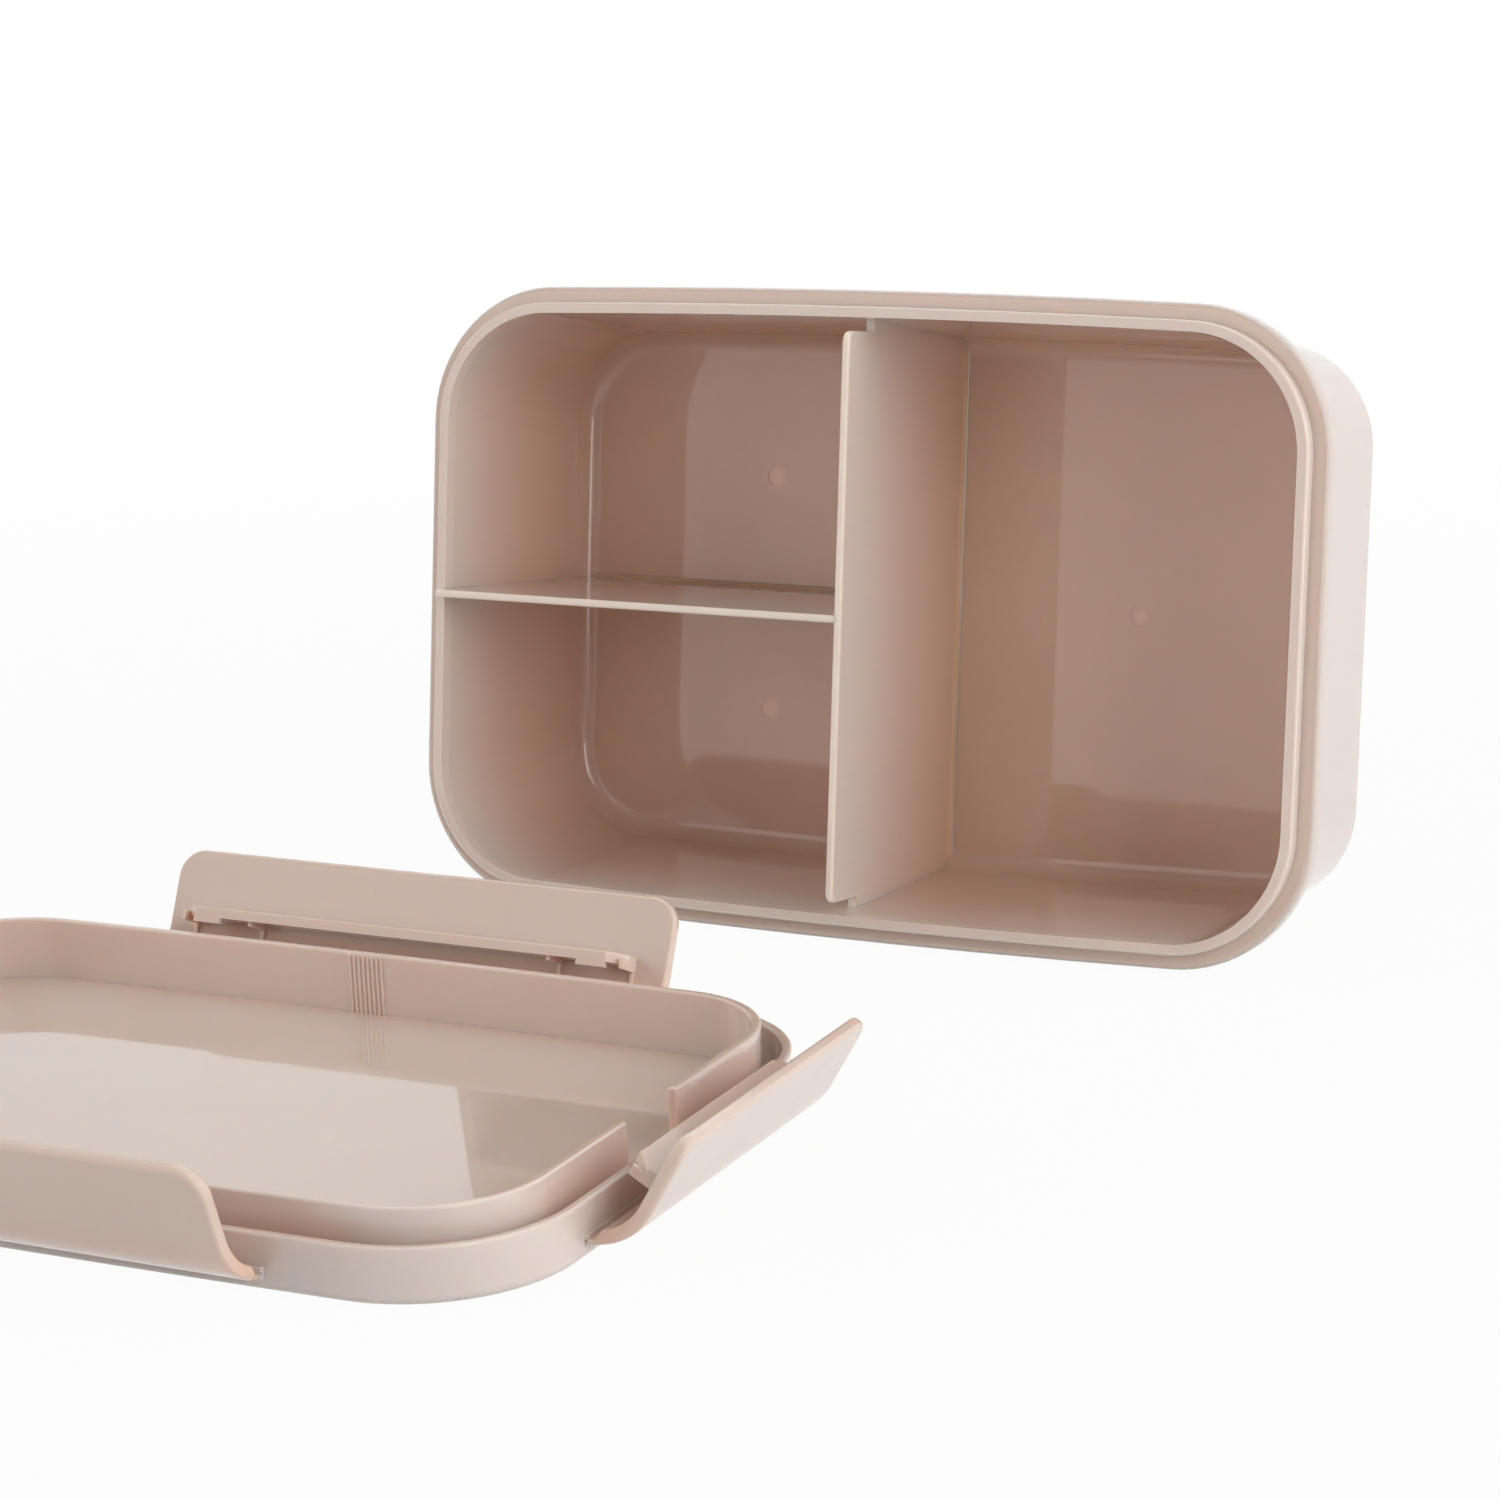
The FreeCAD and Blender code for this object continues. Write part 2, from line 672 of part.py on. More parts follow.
def make_ribs(body, rail_half, inside):
    """Two fine ribs near each end, along the rail's underside and down the wall."""
    tip = rail_inner + get("rib_proud")
    under = rail_bottom - get("rib_proud")
    face = wall_inner - get("rib_proud")
    foot = get("flap_heel_round") * 0.5
    for number in range(2):
        start = rail_half - get("rib_thickness") - get("rib_spacing") * number
        side_pad(body, "rib_%d" % number, start, get("rib_thickness"),
                 [(tip, rail_middle), (tip, under), (face, under), (face, foot),
                  (inside, foot), (inside, rail_middle)])


def make_flap(name, half, corner):
    """Snap flap with its rail, the two hooks under the rail's ends and four fine ribs."""
    body = new_body(name)
    section = flap_section(body)
    extrude(body, "Pad", "wall", section, (half + 2) * 2, symmetric=True)
    outline = flap_outline(body, half, corner)
    extrude(body, "Pocket", "trim", outline, get("flap_length") * 2, symmetric=True)
    round_flap(body, half, corner)
    inside = wall_inner + get("flap_wall") * 0.5
    rail_half = half - get("rail_end_setback")
    make_rail(body, rail_half, inside)
    make_hooks(body, rail_half)
    make_ribs(body, rail_half, inside)
    return body


def film_half(name, half, side, angle):
    """One half of a hinge film, on the lid's or the flap's side of the bend."""
    block = doc.addObject("Part::Box", name)
    bind(block, "Length", half * 2)
    bind(block, "Width", get("film_half_length"))
    bind(block, "Height", get("film_thickness"))
    doc.recompute()
    turn = Rotation(Vector(1, 0, 0), angle)
    corner = Vector(-block.Length.Value / 2, min(side, 0) * block.Width.Value, -block.Height.Value / 2)
    block.Placement = Placement(turn.multVec(corner), turn)
    return block


def make_film(name, half, angle):
    """Hinge film, bent by the angle its flap is opened to."""
    lid_half = film_half(name + "_lid_half", half, -1, 0)
    flap_half = film_half(name + "_flap_half", half, 1, -angle)
    bead = doc.addObject("Part::Cylinder", name + "_bend")
    bind(bead, "Radius", get("film_thickness") * 0.5)
    bind(bead, "Height", half * 2)
    doc.recompute()
    bead.Placement = Placement(Vector(-bead.Height.Value / 2, 0, 0), Rotation(Vector(0, 1, 0), 90))
    film = doc.addObject("Part::MultiFuse", name)
    film.Shapes = [lid_half, flap_half, bead]
    film.Refine = True
    doc.recompute()
    return film


# rest pose
def lean_angle():
    """How far the box leans back, resting on its flange's back edge and its rounded base edge."""
    base_r = get("base_round").value
    depth = get("box_depth").value
    slope = get("wall_taper").value / flange_back.value
    base_z = depth - base_r
    wall = get("flange_overhang").value + slope * (base_z - get("flange_thickness").value)
    base_h = wall + base_r * math.sqrt(1 + slope ** 2)
    run = base_z - get("flange_thickness").value
    return math.acos(base_r / math.hypot(run, base_h)) - math.atan2(run, base_h)


def box_pose():
    """Box on its long side, opening towards -Y, leaning back."""
    lean = lean_angle()
    half = get("rim_half_width").value
    depth = get("box_depth").value
    up = half * math.cos(lean) - flange_back.value * math.sin(lean)
    behind = get("box_behind").value + half * math.sin(lean) + depth * math.cos(lean)
    turn = Rotation(Vector(1, 0, 0), 90 - math.degrees(lean))
    return Placement(Vector(get("box_right").value, behind, up), turn)


def hinge_pose(side):
    """Place of a flap's hinge axis on the lid, and its turn about Z."""
    _, half_rim, _, _, turn, _ = side
    out = half_rim - get("skirt_inset") + get("land_proud") + get("film_half_length")
    about_z = Rotation(Vector(0, 0, 1), turn)
    spot = about_z.multVec(Vector(0, out.value, 0)) + Vector(0, 0, get("hinge_height").value)
    return Placement(spot, about_z)


def flap_sides():
    """Name, rim half extent, half width, corner, turn about Z and open angle of each flap."""
    width, length = get("rim_half_width"), get("rim_half_length")
    wide, wide_corner = get("long_flap_half"), get("long_flap_corner")
    narrow, narrow_corner = get("short_flap_half"), get("short_flap_corner")
    return [
        ("back", width, wide, wide_corner, 0, get("back_open_angle").value),
        ("front", width, wide, wide_corner, 180, get("front_open_angle").value),
        ("right", length, narrow, narrow_corner, -90, get("right_open_angle").value),
        ("left", length, narrow, narrow_corner, 90, get("left_open_angle").value),
    ]


def build():
    """All nodes, each with its rest pose."""
    nodes = []
    blank = make_box_blank()
    cavity = make_cavity()
    box = boolean("Cut", "box", blank, cavity)
    main_plate = make_main_plate()
    main_divider = boolean("Common", "main_divider", main_plate, cavity)
    cross_inside = boolean("Common", "cross_inside", make_cross_plate(), cavity)
    cross_divider = boolean("Cut", "cross_divider", cross_inside, main_plate)
    pose = box_pose()
    for node in (box, main_divider, cross_divider):
        nodes.append((node, pose))
    nodes.append((make_lid(), Placement()))
    for side in flap_sides():
        name, _, half, corner, _, angle = side
        hinge = hinge_pose(side)
        opened = Placement(Vector(), Rotation(Vector(1, 0, 0), -angle))
        nodes.append((make_flap("flap_" + name, half, corner), hinge.multiply(opened)))
        nodes.append((make_film("hinge_film_" + name, half, angle), hinge))
    return nodes


def check_document():
    """Stop if any object failed or any solid is empty or broken."""
    for item in doc.Objects:
        if "Invalid" in item.State or "Error" in item.State:
            raise RuntimeError("%s did not compute: %s" % (item.Name, item.State))


def export(nodes):
    """Write each node as its own file."""
    os.makedirs("parts", exist_ok=True)
    for node in nodes:
        shape = node.Shape
        if shape.isNull() or not shape.isValid() or not shape.Solids:
            raise RuntimeError("%s has no sound solid" % node.Label)
        shape.exportStep("parts/%s.step" % node.Label)
        print(node.Label, len(shape.Solids), "solid", round(shape.Volume, 1), "mm3")


built = build()
for piece, rest in built:
    piece.Label = piece.Name
    piece.Placement = rest
doc.recompute()
check_document()
export([piece for piece, rest in built])
print("lean of the box: %.3f degrees" % math.degrees(lean_angle()))
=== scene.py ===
import json
import math

import bmesh
import bpy
from mathutils import Euler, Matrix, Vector


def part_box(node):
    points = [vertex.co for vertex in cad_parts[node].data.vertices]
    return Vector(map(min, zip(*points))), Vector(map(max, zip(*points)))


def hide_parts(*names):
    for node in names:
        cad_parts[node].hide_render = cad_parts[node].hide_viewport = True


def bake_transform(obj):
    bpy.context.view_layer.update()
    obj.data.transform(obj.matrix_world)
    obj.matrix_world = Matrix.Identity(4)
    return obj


# Lunch box lying open on a white table: glossy moulded plastic in one blush beige.
# Metres, in the same frame as the solids: the lid's outer face lies on z = 0.

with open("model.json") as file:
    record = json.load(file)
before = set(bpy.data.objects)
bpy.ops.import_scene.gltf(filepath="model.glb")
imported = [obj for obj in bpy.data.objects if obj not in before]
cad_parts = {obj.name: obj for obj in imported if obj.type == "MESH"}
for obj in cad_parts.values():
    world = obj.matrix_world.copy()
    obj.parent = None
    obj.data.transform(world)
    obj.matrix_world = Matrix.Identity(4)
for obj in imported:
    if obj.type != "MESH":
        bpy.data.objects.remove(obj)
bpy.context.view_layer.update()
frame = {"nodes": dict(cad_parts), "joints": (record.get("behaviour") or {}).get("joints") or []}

# camera, as the photograph was taken; turns in degrees, lens and sensor in millimetres
CAMERA_PLACE = (0.3469, -0.4816, 0.2049)
CAMERA_TURN = (75.896, 2.219, 26.433)
CAMERA_LENS = 92.74
CAMERA_SENSOR = 36.0
CAMERA_CLIP = (0.01, 50.0)

# plastic; a pair of colours or of roughnesses is what the mottling runs between
BOX_BEIGE = ((0.714, 0.498, 0.384), (0.726, 0.512, 0.398))
LID_BEIGE = ((0.690, 0.556, 0.480), (0.702, 0.570, 0.494))
NOISE_SPAN = (0.35, 0.65)
MOTTLE_SIZE = 0.020
MOTTLE_DETAIL = 2.0
WAVE_SIZE = 0.011
WAVE_DETAIL = 1.0
WAVE_HEIGHT = 0.000008
SKIN_SIZE = 0.0009
SKIN_DETAIL = 3.0
SKIN_HEIGHT = 0.0000006
GLOSS_ROUGHNESS = (0.04, 0.07)
FLAP_ROUGHNESS = (0.20, 0.26)
PLASTIC_IOR = 1.49
POLISH = 0.60
POLISH_ROUGHNESS = 0.02
DEPTH_GLOW = 0.6
DEPTH_RADIUS = (1.0, 0.50, 0.27)
DEPTH_SCALE = 0.0020

# painted light and shade in the plastic's colour: paler towards the mouth, where more light gets
# in, painted highlights on the lip and thin edges, paler outer faces standing in for their white
# sheen, and a painted warm glow at the dividers' feet and by the hinges; a share is how much of a
# shade is mixed in, a rise is a height above the box's base, along its depth
# painted sheen and shade: the outer faces are painted paler and more neutral than the inside, for
# the white light they reflect and the warm bounced light the inside gets
BOX_OUTSIDE_PAINTED_SHEEN = (0.580, 0.518, 0.480)
LID_OUTSIDE_PAINTED_SHEEN = (0.705, 0.640, 0.608)
OUTSIDE_SHEEN_SHARE = 0.7
OUTSIDE_REACH = (0.015, 0.035)
INSIDE_REACH = tuple(-end for end in OUTSIDE_REACH)
# painted light: the inner faces, the dividers and the flange are painted paler towards the mouth,
# where more light gets in
MOUTH_PAINTED_LIGHT = (0.700, 0.635, 0.592)
MOUTH_LIGHT_SHARE = 0.80
MOUTH_LIGHT_RISE = (0.020, 0.054)
DIVIDER_LIGHT_SHARE = 0.95
DIVIDER_LIGHT_RISE = (0.004, 0.051)
FLANGE_LIGHT_SHARE = 0.45
FLANGE_LIGHT_RISE = (0.0430, 0.0450)
# painted highlight: the lip is painted paler, for the light its rounded edges catch
LIP_PAINTED_HIGHLIGHT = (0.745, 0.652, 0.594)
LIP_HIGHLIGHT_SHARE = 0.75
LIP_HIGHLIGHT_RISE = (0.0480, 0.0484)
# painted highlight: the dividers' front edges are painted paler, for the light their rounded edges
# catch
EDGE_PAINTED_HIGHLIGHT = (0.850, 0.737, 0.655)
EDGE_HIGHLIGHT_SHARE = 0.9
EDGE_HIGHLIGHT_RISE = (0.0530, 0.0536)
# painted glow: the dividers' feet are painted warm and bright, for light through the plastic and
# against the shade in the corner
FOOT_PAINTED_GLOW = (0.880, 0.540, 0.340)
FOOT_GLOW_SHARE = 0.8
FOOT_GLOW_RISE = (0.0024, 0.0048)
# painted glow: warmer near the hinges, for light shining through the thin plastic there and
# bouncing in the trough beside each flap
HEEL_PAINTED_GLOW = (0.800, 0.520, 0.380)
HEEL_GLOW_SHARE = 0.55
HEEL_GLOW_REACH = (0.0055, 0.0130)
# where the trough's painted glow fades: just inside the hinge line, and towards the flap's ends
TROUGH_EDGE = (-0.0030, -0.0015)
TROUGH_ENDS = (-0.030, -0.020)
# hinge lines: how far they lie from the lid's middle in x and y, and their height
HINGE_PLACE = (0.0884, 0.0589, 0.003)
LID_CENTRE = (0.0, 0.0, 0.0)

# the box's own frame, and the moulding marks in its floor
BOX_BASE = (0.056, 0.178957, 0.051061)
BOX_LEAN = 8.6556
BOX_DEPTH = 0.048
GATES = [
    # place in the box's frame, and a distance added to make the mark fainter
    ((-0.038, 0.0225, 0.002), 0.0),
    ((-0.038, -0.0225, 0.002), 0.0),
    ((0.038, 0.0, 0.002), 0.0008),
]
GATE_COLOUR = (0.92, 0.66, 0.50)
GATE_CORE = (0.0006, 0.0030)
GATE_CORE_SHARE = 0.60
GATE_BLUSH = (0.002, 0.016)
GATE_BLUSH_SHARE = 0.10

# hinge films
FILM_THICKNESS = 0.0004
FILM_HALF_LENGTH = 0.0006
FILM_OVERLAP = 0.00025
FILM_STEPS = 12
FILM_ROUGHNESS = (0.24, 0.32)
# corners of a film's section, as sides along the hinge and across the thickness
FILM_CORNERS = ((-1, -1), (1, -1), (1, 1), (-1, 1))
UP = Vector((0.0, 0.0, 1.0))

# studio
FLOOR_SIZE = 16.0
FLOOR_WHITE = 0.70
FLOOR_GLOW = (0.95, 1.0)
FLOOR_FADE = (0.25, 0.90)
AMBIENT = 0.09
ROOM_FRONT = 0.25
ROOM_TURN = (-0.5, 0.1)
STUDIO_AIM = (0.03, 0.08, 0.05)
LAMPS = [
    # name, place, width, height, watts
    ("right", (1.25, 0.10, 0.55), 1.7, 1.4, 15.6),
    ("glint", (1.05, -0.72, 0.50), 0.25, 0.9, 1.8),
    ("right_front", (1.15, -0.50, 0.60), 1.5, 1.2, 3.8),
    ("left", (-1.20, -0.30, 0.60), 1.7, 1.4, 12.0),
    ("window", (-0.65, -1.25, 0.42), 1.3, 0.9, 3.2),
    ("top", (0.10, 0.25, 1.40), 1.5, 1.2, 2.6),
    ("back", (-0.25, 1.15, 1.15), 1.2, 0.9, 3.0),
]
# lamps that mirror reflections don't show, so that flat glossy faces keep their colour
UNSEEN_LAMPS = ("left", "right")


def add_object(name, data):
    """A new object, linked to the scene."""
    thing = bpy.data.objects.new(name, data)
    bpy.context.scene.collection.objects.link(thing)
    return thing


# materials
def add_node(tree, kind, **values):
    """A shader node with its plain socket values set."""
    node = tree.nodes.new(kind)
    for name, value in values.items():
        node.inputs[name.replace("_", " ")].default_value = value
    return node


def noise(tree, place, size, detail):
    """Noise of a real size in metres, in the object's own frame."""
    node = add_node(tree, "ShaderNodeTexNoise", Scale=1.0 / size, Detail=detail)
    tree.links.new(place, node.inputs["Vector"])
    return node.outputs["Fac"]


def spread(tree, source, low, high):
    """Noise stretched to run from low to high."""
    node = add_node(tree, "ShaderNodeMapRange", From_Min=NOISE_SPAN[0], From_Max=NOISE_SPAN[1],
                    To_Min=low, To_Max=high)
    tree.links.new(source, node.inputs["Value"])
    return node.outputs["Result"]


def mixed(tree, share, first, second):
    """Colour that goes from first to second with share; each is a colour or a socket."""
    node = tree.nodes.new("ShaderNodeMix")
    node.data_type = "RGBA"
    tree.links.new(share, node.inputs["Factor"])
    for name, colour in (("A", first), ("B", second)):
        if isinstance(colour, tuple):
            node.inputs[name].default_value = (*colour, 1.0)
        else:
            tree.links.new(colour, node.inputs[name])
    return node.outputs["Result"]


def bumped(tree, height, distance, below=None):
    """Bump of a real height in metres, on top of another one."""
    node = add_node(tree, "ShaderNodeBump", Strength=1.0, Distance=distance)
    tree.links.new(height, node.inputs["Height"])
    if below is not None:
        tree.links.new(below, node.inputs["Normal"])
    return node.outputs["Normal"]


def ramp(tree, source, ends, first, last):
    """Smooth step from first to last while source runs between two ends."""
    node = add_node(tree, "ShaderNodeMapRange", From_Min=ends[0], From_Max=ends[1],
                    To_Min=first, To_Max=last)
    node.interpolation_type = "SMOOTHSTEP"
    tree.links.new(source, node.inputs["Value"])
    return node.outputs["Result"]


def maths(tree, operation, first, second):
    """Plain maths of a socket with another socket or a fixed number."""
    node = tree.nodes.new("ShaderNodeMath")
    node.operation = operation
    tree.links.new(first, node.inputs[0])
    if isinstance(second, float):
        node.inputs[1].default_value = second
    else:
        tree.links.new(second, node.inputs[1])
    return node.outputs[0]


def combined(tree, operation, first, second):
    """Vector maths of a socket with another socket or a fixed vector."""
    node = tree.nodes.new("ShaderNodeVectorMath")
    node.operation = operation
    tree.links.new(first, node.inputs[0])
    if isinstance(second, tuple):
        node.inputs[1].default_value = second
    else:
        tree.links.new(second, node.inputs[1])
    return node.outputs["Value" if operation in ("DISTANCE", "DOT_PRODUCT") else "Vector"]


def in_box(tree, place):
    """A point in the box's own frame, with z rising from its base to its mouth."""
    local = tree.nodes.new("ShaderNodeMapping")
    local.vector_type = "TEXTURE"
    local.inputs["Location"].default_value = BOX_BASE
    local.inputs["Rotation"].default_value = (math.radians(90 - BOX_LEAN), 0.0, 0.0)
    tree.links.new(place, local.inputs["Vector"])
    return local.outputs["Vector"]


def height_in_box(tree, place):
    """Height of a point above the box's base, along its depth."""
    split = tree.nodes.new("ShaderNodeSeparateXYZ")
    tree.links.new(in_box(tree, place), split.inputs[0])
    return split.outputs["Z"]


def gate_distance(tree, place):
    """Distance of a point to the nearest moulding mark of the box."""
    local = in_box(tree, place)
    nearest = None
    for gate, fainter in GATES:
        distance = maths(tree, "ADD", combined(tree, "DISTANCE", local, gate), fainter)
        if nearest is None:
            nearest = distance
            continue
        nearest = maths(tree, "MINIMUM", nearest, distance)
    return nearest


def outward_reach(tree, coordinates, centre):
    """How far a face looks away from a point in the middle of its piece."""
    arm = combined(tree, "SUBTRACT", coordinates.outputs["Object"], centre)
    return combined(tree, "DOT_PRODUCT", arm, coordinates.outputs["Normal"])


def mouth_centre():
    """Middle of the box's mouth."""
    lean = math.radians(BOX_LEAN)
    x, y, z = BOX_BASE
    return (x, y - BOX_DEPTH * math.cos(lean), z + BOX_DEPTH * math.sin(lean))


def box_painted_light_and_marks(tree, coordinates, colour):
    """Painted light: paler mouth and flange, a painted highlight on the lip and paler outside for
    its sheen; and a blush round each moulding mark.
    """
    place = coordinates.outputs["Object"]
    rise = height_in_box(tree, place)
    reach = outward_reach(tree, coordinates, mouth_centre())
    inner = ramp(tree, reach, INSIDE_REACH, 0.0, 1.0)
    mouth = maths(tree, "MULTIPLY", inner, ramp(tree, rise, MOUTH_LIGHT_RISE, 0.0, MOUTH_LIGHT_SHARE))
    flange = ramp(tree, rise, FLANGE_LIGHT_RISE, 0.0, FLANGE_LIGHT_SHARE)
    colour = mixed(tree, maths(tree, "MAXIMUM", mouth, flange), colour, MOUTH_PAINTED_LIGHT)
    colour = mixed(tree, ramp(tree, reach, OUTSIDE_REACH, 0.0, OUTSIDE_SHEEN_SHARE), colour, BOX_OUTSIDE_PAINTED_SHEEN)
    colour = mixed(tree, ramp(tree, rise, LIP_HIGHLIGHT_RISE, 0.0, LIP_HIGHLIGHT_SHARE), colour, LIP_PAINTED_HIGHLIGHT)
    distance = gate_distance(tree, place)
    blush = ramp(tree, distance, GATE_BLUSH, GATE_BLUSH_SHARE, 0.0)
    core = ramp(tree, distance, GATE_CORE, GATE_CORE_SHARE, 0.0)
    return mixed(tree, core, mixed(tree, blush, colour, GATE_COLOUR), GATE_COLOUR)


def divider_painted_light(tree, coordinates, colour):
    """Painted light: paler towards the front edge, with a painted highlight on it and a painted
    warm glow where the foot curves into the floor.
    """
    rise = height_in_box(tree, coordinates.outputs["Object"])
    colour = mixed(tree, ramp(tree, rise, DIVIDER_LIGHT_RISE, 0.0, DIVIDER_LIGHT_SHARE), colour, MOUTH_PAINTED_LIGHT)
    colour = mixed(tree, ramp(tree, rise, EDGE_HIGHLIGHT_RISE, 0.0, EDGE_HIGHLIGHT_SHARE), colour, EDGE_PAINTED_HIGHLIGHT)
    return mixed(tree, ramp(tree, rise, FOOT_GLOW_RISE, FOOT_GLOW_SHARE, 0.0), colour, FOOT_PAINTED_GLOW)


def hinge_offsets(tree, place):
    """How far a point lies outside the nearer and the other hinge lines, and above them."""
    split = tree.nodes.new("ShaderNodeSeparateXYZ")
    tree.links.new(place, split.inputs[0])
    across = [maths(tree, "SUBTRACT", maths(tree, "ABSOLUTE", split.outputs[name], 0.0), edge)
              for name, edge in zip("XY", HINGE_PLACE)]
    above = maths(tree, "SUBTRACT", split.outputs["Z"], HINGE_PLACE[2])
    return maths(tree, "MAXIMUM", *across), maths(tree, "MINIMUM", *across), above


def heel_glow_share(tree, outward, above):
    """Share of the painted warm glow, which fades away from the hinge lines."""
    squares = [maths(tree, "MULTIPLY", side, side) for side in (outward, above)]
    distance = maths(tree, "POWER", maths(tree, "ADD", *squares), 0.5)
    return ramp(tree, distance, HEEL_GLOW_REACH, HEEL_GLOW_SHARE, 0.0)


def flap_painted_glow(tree, coordinates, colour):
    """Painted glow: warmer towards the hinge, for light through the thin plastic there."""
    outward, _, above = hinge_offsets(tree, coordinates.outputs["Object"])
    return mixed(tree, heel_glow_share(tree, outward, above), colour, HEEL_PAINTED_GLOW)


def lid_painted_light(tree, coordinates, colour):
    """Painted light: paler outer faces of the skirt and the ring for their sheen, and a painted
    warm glow in the trough beside each flap.
    """
    reach = outward_reach(tree, coordinates, LID_CENTRE)
    colour = mixed(tree, ramp(tree, reach, OUTSIDE_REACH, 0.0, OUTSIDE_SHEEN_SHARE), colour, LID_OUTSIDE_PAINTED_SHEEN)
    outward, sideways, above = hinge_offsets(tree, coordinates.outputs["Object"])
    trough = heel_glow_share(tree, outward, above)
    for limit in (ramp(tree, outward, TROUGH_EDGE, 1.0, 0.0),
                  ramp(tree, sideways, TROUGH_ENDS, 1.0, 0.0),
                  ramp(tree, reach, INSIDE_REACH, 1.0, 0.0)):
        trough = maths(tree, "MULTIPLY", trough, limit)
    return mixed(tree, trough, colour, HEEL_PAINTED_GLOW)


def plastic(name, beige, roughness, tint=None):
    """Moulded plastic: faint mottling, a slightly wavy skin and depth under the gloss."""
    material = bpy.data.materials.new(name)
    material.use_nodes = True
    tree = material.node_tree
    shader = tree.nodes["Principled BSDF"]
    coordinates = tree.nodes.new("ShaderNodeTexCoord")
    place = coordinates.outputs["Object"]
    mottle = noise(tree, place, MOTTLE_SIZE, MOTTLE_DETAIL)
    colour = mixed(tree, spread(tree, mottle, 0.0, 1.0), *beige)
    # the tint paints light, highlights and glow into the base colour, and for the box its moulding
    # marks too
    if tint is not None:
        colour = tint(tree, coordinates, colour)
    tree.links.new(colour, shader.inputs["Base Color"])
    tree.links.new(spread(tree, mottle, *roughness), shader.inputs["Roughness"])
    wave = bumped(tree, noise(tree, place, WAVE_SIZE, WAVE_DETAIL), WAVE_HEIGHT)
    skin = bumped(tree, noise(tree, place, SKIN_SIZE, SKIN_DETAIL), SKIN_HEIGHT, wave)
    tree.links.new(skin, shader.inputs["Normal"])
    shader.inputs["IOR"].default_value = PLASTIC_IOR
    shader.inputs["Coat Weight"].default_value = POLISH
    shader.inputs["Coat Roughness"].default_value = POLISH_ROUGHNESS
    shader.inputs["Subsurface Weight"].default_value = DEPTH_GLOW
    shader.inputs["Subsurface Radius"].default_value = DEPTH_RADIUS
    shader.inputs["Subsurface Scale"].default_value = DEPTH_SCALE
    return material


def dress(node, material):
    """Gives a CAD node its finish."""
    shown = frame["nodes"][node]
    shown.data.materials.clear()
    shown.data.materials.append(material)


# hinge films
def hinge_axes(joint):
    """Hinge point, direction along it, direction out of the lid and rest angle of a flap."""
    along = Vector(joint["axis"])
    outward = along.cross(UP)
    return Vector(joint["pos_m"]), along, outward, math.radians(-joint["range_deg"][0])


def film_section(angle):
    """Points across a bent film as distance out, height and turn, from the lid to the flap."""
    points = []
    out, up = -FILM_HALF_LENGTH - FILM_OVERLAP, 0.0
    step = 2 * (FILM_HALF_LENGTH + FILM_OVERLAP) / FILM_STEPS
    run = out
    for _ in range(FILM_STEPS + 1):
        share = min(max((run + FILM_HALF_LENGTH) / (2 * FILM_HALF_LENGTH), 0.0), 1.0)
        turn = -angle * share
        points.append((out, up, turn))
        out += step * math.cos(turn)
        up += step * math.sin(turn)
        run += step
    return points


def make_film(side, joint, material):
    """Thin bent strip between the lid and one flap, bent to the flap's rest angle."""
    low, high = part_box("hinge_film_" + side)
    point, along, outward, angle = hinge_axes(joint)
    half = abs((high - low).dot(along)) / 2
    mesh = bpy.data.meshes.new("film_" + side)
    form = bmesh.new()
    rows = []
    for out, up, turn in film_section(angle):
        centre = point + outward * out + UP * up
        normal = UP * math.cos(turn) - outward * math.sin(turn)
        ring = [centre + along * (half * s) + normal * (FILM_THICKNESS / 2 * t)
                for s, t in FILM_CORNERS]
        rows.append([form.verts.new(corner) for corner in ring])
    for first, second in zip(rows, rows[1:]):
        for i in range(len(FILM_CORNERS)):
            j = (i + 1) % len(FILM_CORNERS)
            form.faces.new((first[i], first[j], second[j], second[i]))
    form.faces.new(rows[0][::-1])
    form.faces.new(rows[-1])
    bmesh.ops.recalc_face_normals(form, faces=form.faces)
    form.to_mesh(mesh)
    form.free()
    film = add_object("film_" + side, mesh)
    mesh.materials.append(material)
    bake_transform(film)
    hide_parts("hinge_film_" + side)


# studio
def seen(tree, place):
    """1 for the camera, 0 for the light itself; mirrors see a dimmer room at the front."""
    path = tree.nodes.new("ShaderNodeLightPath")
    split = tree.nodes.new("ShaderNodeSeparateXYZ")
    tree.links.new(place, split.inputs[0])
    mirrors = maths(tree, "MAXIMUM",
                    path.outputs["Is Glossy Ray"], path.outputs["Is Transmission Ray"])
    room = ramp(tree, split.outputs["Y"], ROOM_TURN, ROOM_FRONT, 1.0)
    mirrored = maths(tree, "MULTIPLY", mirrors, room)
    return maths(tree, "MAXIMUM", path.outputs["Is Camera Ray"], mirrored)


def floor_glow(tree):
    """Share of plain white in the floor: less by the object, where its shadow falls."""
    place = tree.nodes.new("ShaderNodeTexCoord").outputs["Object"]
    distance = tree.nodes.new("ShaderNodeVectorMath")
    distance.operation = "LENGTH"
    tree.links.new(place, distance.inputs[0])
    share = ramp(tree, distance.outputs["Value"], FLOOR_FADE, *FLOOR_GLOW)
    return maths(tree, "MULTIPLY", share, seen(tree, place))


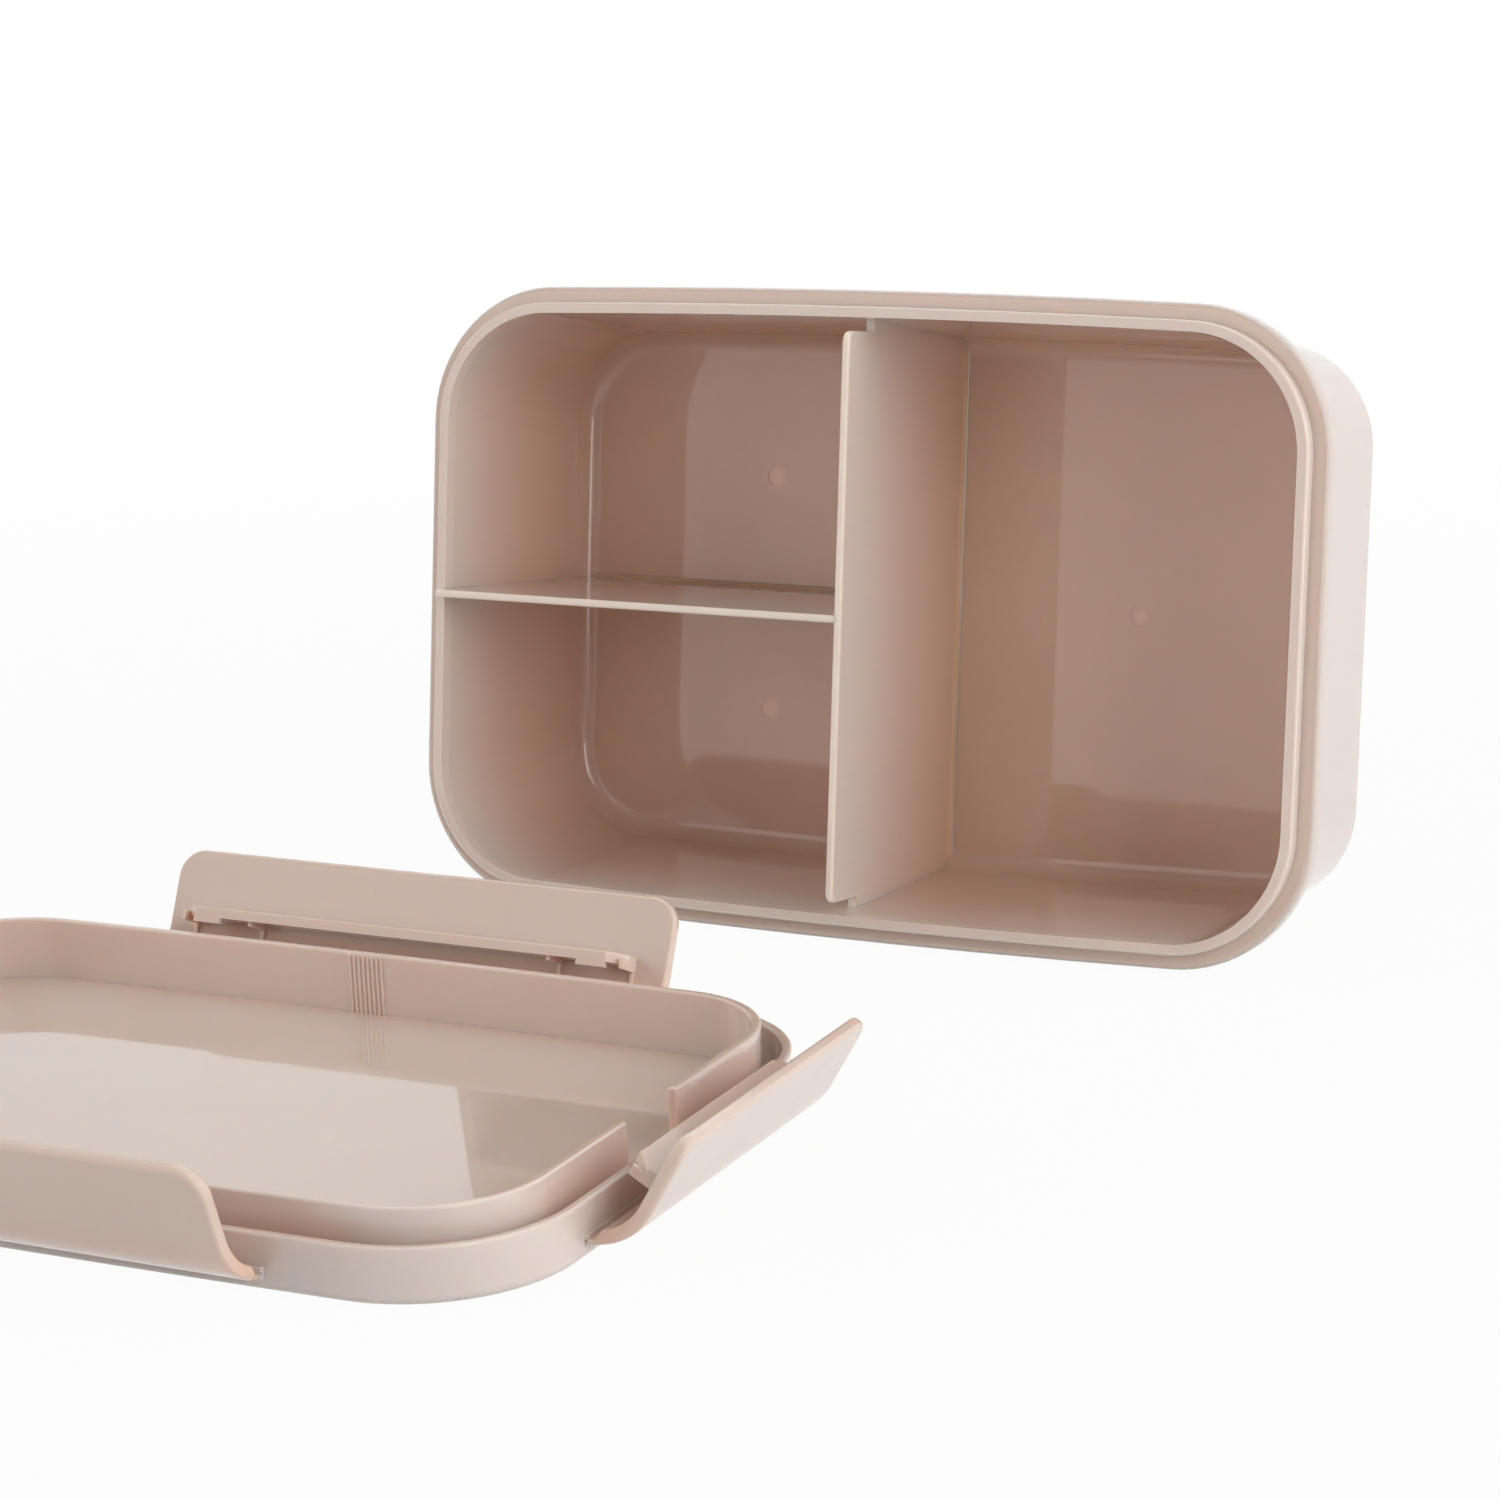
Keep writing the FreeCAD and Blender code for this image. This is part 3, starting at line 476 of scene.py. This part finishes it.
def make_floor():
    """White table that keeps the shadow."""
    mesh = bpy.data.meshes.new("floor")
    half = FLOOR_SIZE / 2
    corners = [(-half, -half, 0), (half, -half, 0), (half, half, 0), (-half, half, 0)]
    mesh.from_pydata(corners, [], [(0, 1, 2, 3)])
    floor = add_object("floor", mesh)
    material = bpy.data.materials.new("floor_white")
    material.use_nodes = True
    tree = material.node_tree
    tree.nodes.clear()
    white = (FLOOR_WHITE, FLOOR_WHITE, FLOOR_WHITE, 1.0)
    diffuse = add_node(tree, "ShaderNodeBsdfDiffuse", Color=white)
    glow = add_node(tree, "ShaderNodeEmission", Strength=1.0)
    mix = tree.nodes.new("ShaderNodeMixShader")
    output = tree.nodes.new("ShaderNodeOutputMaterial")
    tree.links.new(floor_glow(tree), mix.inputs[0])
    tree.links.new(diffuse.outputs[0], mix.inputs[1])
    tree.links.new(glow.outputs[0], mix.inputs[2])
    tree.links.new(mix.outputs[0], output.inputs["Surface"])
    mesh.materials.append(material)


def make_world():
    """White surroundings, dimmer as a light than as they are seen."""
    world = bpy.data.worlds.new("studio")
    bpy.context.scene.world = world
    world.use_nodes = True
    tree = world.node_tree
    background = tree.nodes["Background"]
    background.inputs["Color"].default_value = (1.0, 1.0, 1.0, 1.0)
    direction = tree.nodes.new("ShaderNodeTexCoord").outputs["Generated"]
    level = maths(tree, "MAXIMUM", seen(tree, direction), AMBIENT)
    tree.links.new(level, background.inputs["Strength"])


def make_lamp(name, place, width, height, watts):
    """Soft rectangular lamp turned to the object."""
    data = bpy.data.lights.new(name, "AREA")
    data.shape = "RECTANGLE"
    data.size = width
    data.size_y = height
    data.energy = watts
    lamp = add_object(name, data)
    lamp.location = place
    lamp.rotation_euler = (Vector(STUDIO_AIM) - Vector(place)).to_track_quat("-Z", "Y").to_euler()
    lamp.visible_camera = False
    lamp.visible_glossy = name not in UNSEEN_LAMPS


def make_camera():
    """Camera at the photograph's place and angle."""
    data = bpy.data.cameras.new("camera")
    data.lens = CAMERA_LENS
    data.sensor_width = CAMERA_SENSOR
    data.clip_start, data.clip_end = CAMERA_CLIP
    camera = add_object("camera", data)
    camera.location = CAMERA_PLACE
    camera.rotation_euler = Euler([math.radians(a) for a in CAMERA_TURN])
    bpy.context.scene.camera = camera


def main():
    """Dresses the pieces, then builds the films, the studio and the camera."""
    box_gloss = plastic("plastic_box", BOX_BEIGE, GLOSS_ROUGHNESS, box_painted_light_and_marks)
    divider_gloss = plastic("plastic_divider", BOX_BEIGE, GLOSS_ROUGHNESS, divider_painted_light)
    lid_gloss = plastic("plastic_lid", LID_BEIGE, GLOSS_ROUGHNESS, lid_painted_light)
    satin = plastic("plastic_flap", LID_BEIGE, FLAP_ROUGHNESS, flap_painted_glow)
    flexed = plastic("plastic_film", LID_BEIGE, FILM_ROUGHNESS, flap_painted_glow)
    dress("box", box_gloss)
    dress("main_divider", divider_gloss)
    dress("cross_divider", divider_gloss)
    dress("lid", lid_gloss)
    hinges = {joint["child"]: joint for joint in frame["joints"]}
    for side in ("back", "front", "right", "left"):
        dress("flap_" + side, satin)
        make_film(side, hinges["flap_" + side], flexed)
    make_floor()
    make_world()
    for lamp in LAMPS:
        make_lamp(*lamp)
    make_camera()
    bpy.context.scene.view_settings.view_transform = "Standard"


main()
